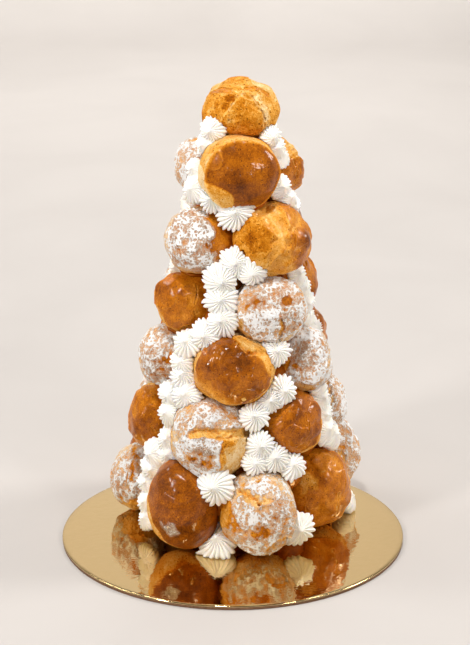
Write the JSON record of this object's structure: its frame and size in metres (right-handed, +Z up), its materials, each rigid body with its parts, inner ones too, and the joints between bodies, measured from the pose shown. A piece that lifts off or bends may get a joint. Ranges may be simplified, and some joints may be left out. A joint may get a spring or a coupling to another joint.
{
  "type": "croquembouche",
  "caption": "Cone of round choux buns, some dusted with icing sugar, with piped cream stars in the gaps, on a flat round gold cake board.",
  "frame": {"origin": "centre of the cake board's underside", "axes": "+Z up, from the board to the top bun; -Y towards the front of the tower, the side with the clear strip of board; +X to the right seen from the front"},
  "size_m": [0.254, 0.254, 0.3382],
  "materials": {
    "crust_brown": "baked choux crust, deep golden brown, glossy with a thin caramel glaze",
    "crust_golden": "baked choux crust, light golden, matte and cracked, glossy only in places",
    "crust_sugared": "baked choux crust under patchy white icing sugar",
    "cream": "piped ivory buttercream or whipped cream, soft satin",
    "gold_card": "mirror-bright gold foil on thick card",
    "caramel": "dark, clear, hard caramel"
  },
  "bodies": {
    "root": {"cake_board": "gold_card", "bun_1_1": "crust_golden", "bun_2_1": "crust_brown", "bun_2_2": "crust_golden", "bun_2_3": "crust_sugared", "bun_3_1": "crust_sugared", "bun_3_2": "crust_golden", "bun_3_3": "crust_brown", "bun_3_4": "crust_golden", "bun_4_1": "crust_brown", "bun_4_2": "crust_sugared", "bun_4_3": "crust_brown", "bun_4_4": "crust_golden", "bun_4_5": "crust_sugared", "bun_5_1": "crust_brown", "bun_5_2": "crust_sugared", "bun_5_3": "crust_brown", "bun_5_4": "crust_golden", "bun_5_5": "crust_brown", "bun_5_6": "crust_sugared", "bun_6_1": "crust_sugared", "bun_6_2": "crust_brown", "bun_6_3": "crust_sugared", "bun_6_4": "crust_golden", "bun_6_5": "crust_brown", "bun_6_6": "crust_sugared", "bun_6_7": "crust_brown", "bun_7_1": "crust_brown", "bun_7_2": "crust_sugared", "bun_7_3": "crust_brown", "bun_7_4": "crust_sugared", "bun_7_5": "crust_brown", "bun_7_6": "crust_golden", "bun_7_7": "crust_brown", "bun_7_8": "crust_sugared", "cream_1": "cream", "cream_2": "cream", "cream_3": "cream", "cream_4": "cream", "cream_5": "cream", "cream_6": "cream", "cream_7": "cream", "cream_8": "cream", "cream_9": "cream", "cream_10": "cream", "cream_11": "cream", "cream_12": "cream", "cream_13": "cream", "cream_14": "cream", "cream_15": "cream", "cream_16": "cream", "cream_17": "cream", "cream_18": "cream", "cream_19": "cream", "cream_20": "cream", "cream_21": "cream", "cream_22": "cream", "cream_23": "cream", "cream_24": "cream", "cream_25": "cream"}
  },
  "joints": []
}
